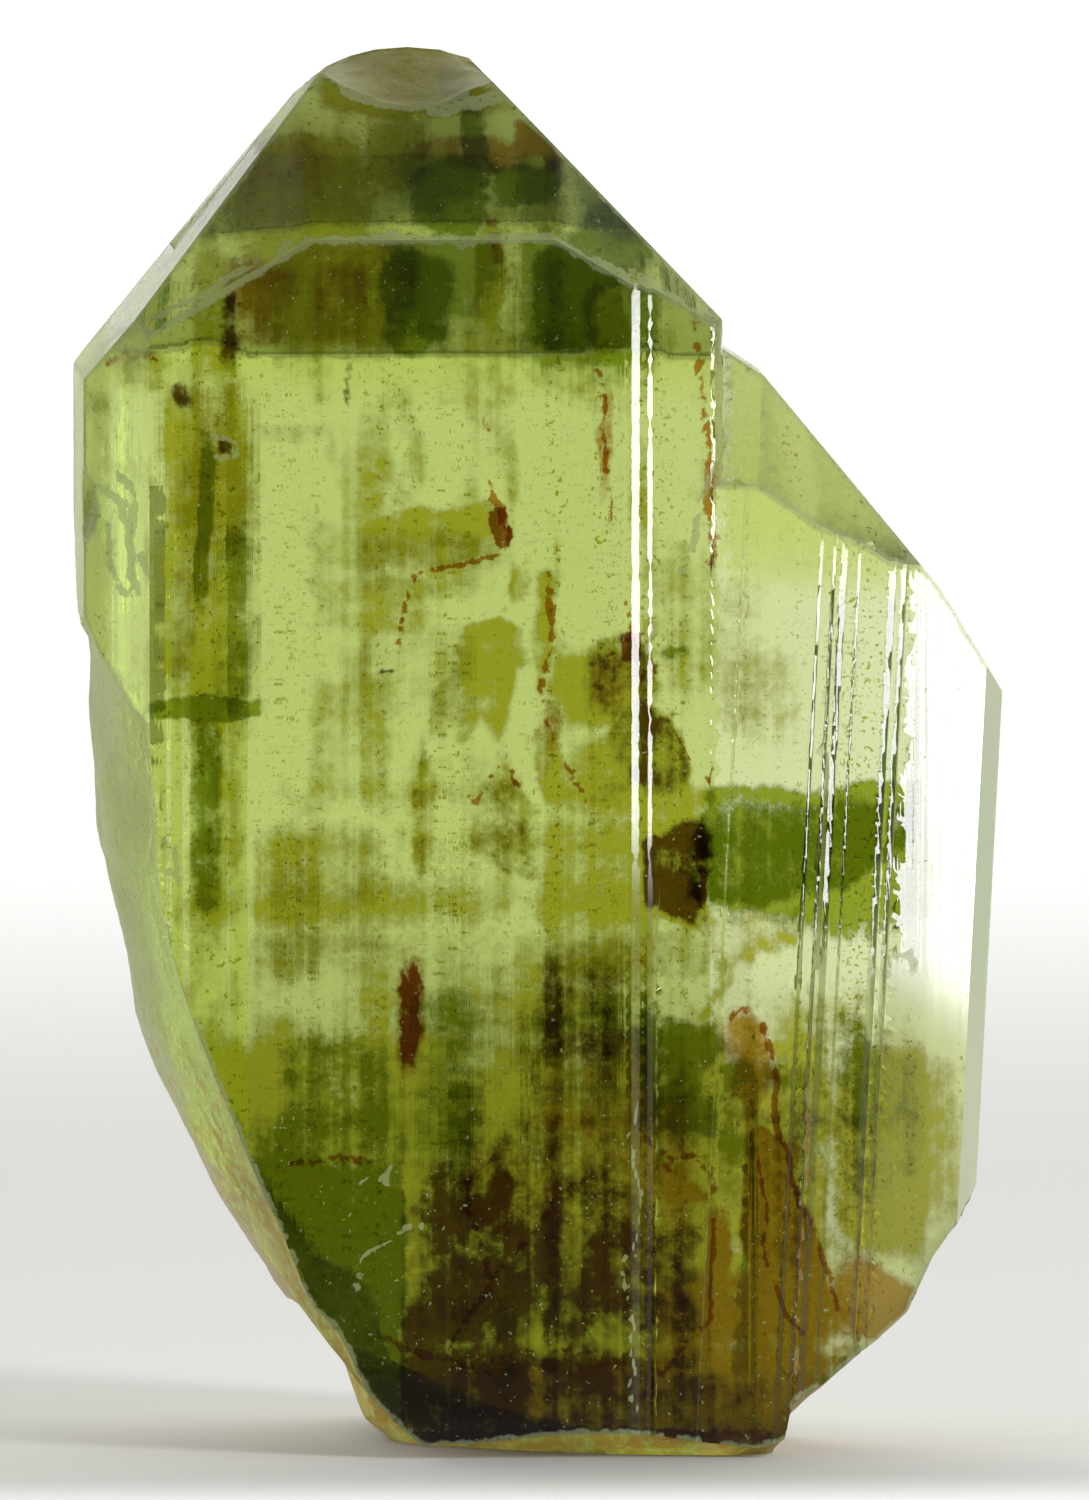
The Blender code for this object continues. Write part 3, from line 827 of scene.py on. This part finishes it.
skin_mesh, ridges = crystal_skin(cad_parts["crystal"])
finish_skin(skin_mesh, ridges)
skin = bpy.data.objects.new("crystal_skin", skin_mesh)
bpy.context.scene.collection.objects.link(skin)
skin.data.materials.append(crystal_material())
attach(skin, "root")
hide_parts("crystal")


# The floor and the light
# A pale sheet that fades into a white ground, and a tall soft light at the front right that the
# narrow faces mirror.

FLOOR_REACH = 240 * MM


def floor_mesh():
    """A flat disc: rings of rising radius round the middle, x and y by the angle's cosine and sine."""
    turn = np.linspace(0, 2 * math.pi, 97)[:-1]
    radius = np.concatenate([[0.2 * MM], np.linspace(4 * MM, FLOOR_REACH, 24)])
    x = radius[:, None] * np.cos(turn)
    y = radius[:, None] * np.sin(turn)
    verts = np.stack([x, y, np.zeros_like(x)], axis=-1).reshape(-1, 3)
    rings, steps = x.shape
    row = np.arange(rings - 1)[:, None] * steps
    here = np.arange(steps)[None, :]
    onward = (here + 1) % steps
    quads = np.stack([row + here, row + steps + here, row + steps + onward, row + onward], axis=-1)
    mesh = bpy.data.meshes.new("floor")
    mesh.from_pydata(verts.tolist(), [], quads.reshape(-1, 4).tolist() + [list(range(steps))])
    return mesh


def floor_material():
    """Matt pale card that thins out to nothing far away."""
    material, tree, output = new_material("floor")
    place = tree.node("TexCoord", out="Object")
    away = tree.node("VectorMath", {"operation": "LENGTH"}, {0: place}, "Value")
    card = tree.node("BsdfDiffuse", None, {"Color": (0.96, 0.96, 0.93, 1)})
    clear = tree.node("BsdfTransparent")
    front = (place.part("Y") * -1.0).rise(10 * MM, 20 * MM)
    fade = away.rise(70 * MM, 225 * MM).math("MAXIMUM", front)
    shader_to(tree, tree.node("MixShader", None, {0: fade, 1: card, 2: clear}), output)
    return material


floor = bpy.data.objects.new("floor", floor_mesh())
bpy.context.scene.collection.objects.link(floor)
floor.data.materials.append(floor_material())

# The room is bright behind the crystal, with a brighter belt, and dark in front and overhead.
world = bpy.data.worlds.new("studio")
bpy.context.scene.world = world
world.use_nodes = True
world.node_tree.nodes.clear()
sky = Wire(world.node_tree)
aim = sky.node("TexCoord", out="Generated")
towards = aim.part("Y")
up = aim.part("Z")
belt = up.rise(0.15, 0.4) * (1.0 - up.rise(0.6, 0.85)) * towards.rise(-0.2, 0.3)
level = towards.rise(-0.75, -0.35) * 0.4 + towards.rise(-0.3, 0.75) * 0.63 + belt * 0.9 + 0.02
level = level * (1.0 - up.rise(0.8, 0.95) * 0.85)
seen = sky.node("LightPath", out="Is Camera Ray")
level = seen.math("MAXIMUM", level)
ground = sky.node("Background", None, {"Color": (1.0, 1.0, 0.985, 1), "Strength": level})
world_out = world.node_tree.nodes.new("ShaderNodeOutputWorld")
shader_to(sky, ground, world_out)


def soft_light(name, place, aim, width, height, power):
    """An upright rectangular area light at a place, turned to a point."""
    data = bpy.data.lights.new(name, "AREA")
    data.shape = "RECTANGLE"
    data.size = width
    data.size_y = height
    data.energy = power
    made = bpy.data.objects.new(name, data)
    made.location = place
    made.rotation_euler = (Vector(aim) - Vector(place)).to_track_quat("-Z", "Y").to_euler()
    bpy.context.scene.collection.objects.link(made)


soft_light("right light", (0.24, -0.18, 0.09), (0, 0, 0.03), 0.06, 0.26, 0.6)


# The camera
# It looks from 3 degrees to the left and 4 degrees above, from far off.

CAMERA_AZIMUTH = math.radians(-3.0)
CAMERA_ELEVATION = math.radians(4.0)
CAMERA_DISTANCE = 0.6
FRAME_HEIGHT = 38.36 * MM
AIM = Vector((-0.041, -4.49, 18.07)) * MM

camera = bpy.data.cameras.new("camera")
camera.sensor_fit = "VERTICAL"
camera.sensor_height = 24.0
camera.lens = camera.sensor_height * CAMERA_DISTANCE / FRAME_HEIGHT
camera.clip_start = 0.01
lens = bpy.data.objects.new("camera", camera)
bpy.context.scene.collection.objects.link(lens)
outward = Vector(
    (
        math.sin(CAMERA_AZIMUTH) * math.cos(CAMERA_ELEVATION),
        -math.cos(CAMERA_AZIMUTH) * math.cos(CAMERA_ELEVATION),
        math.sin(CAMERA_ELEVATION),
    )
)
lens.location = AIM + outward * CAMERA_DISTANCE
lens.rotation_euler = (-outward).to_track_quat("-Z", "Y").to_euler()
bpy.context.scene.camera = lens
bpy.context.scene.view_settings.view_transform = "Standard"
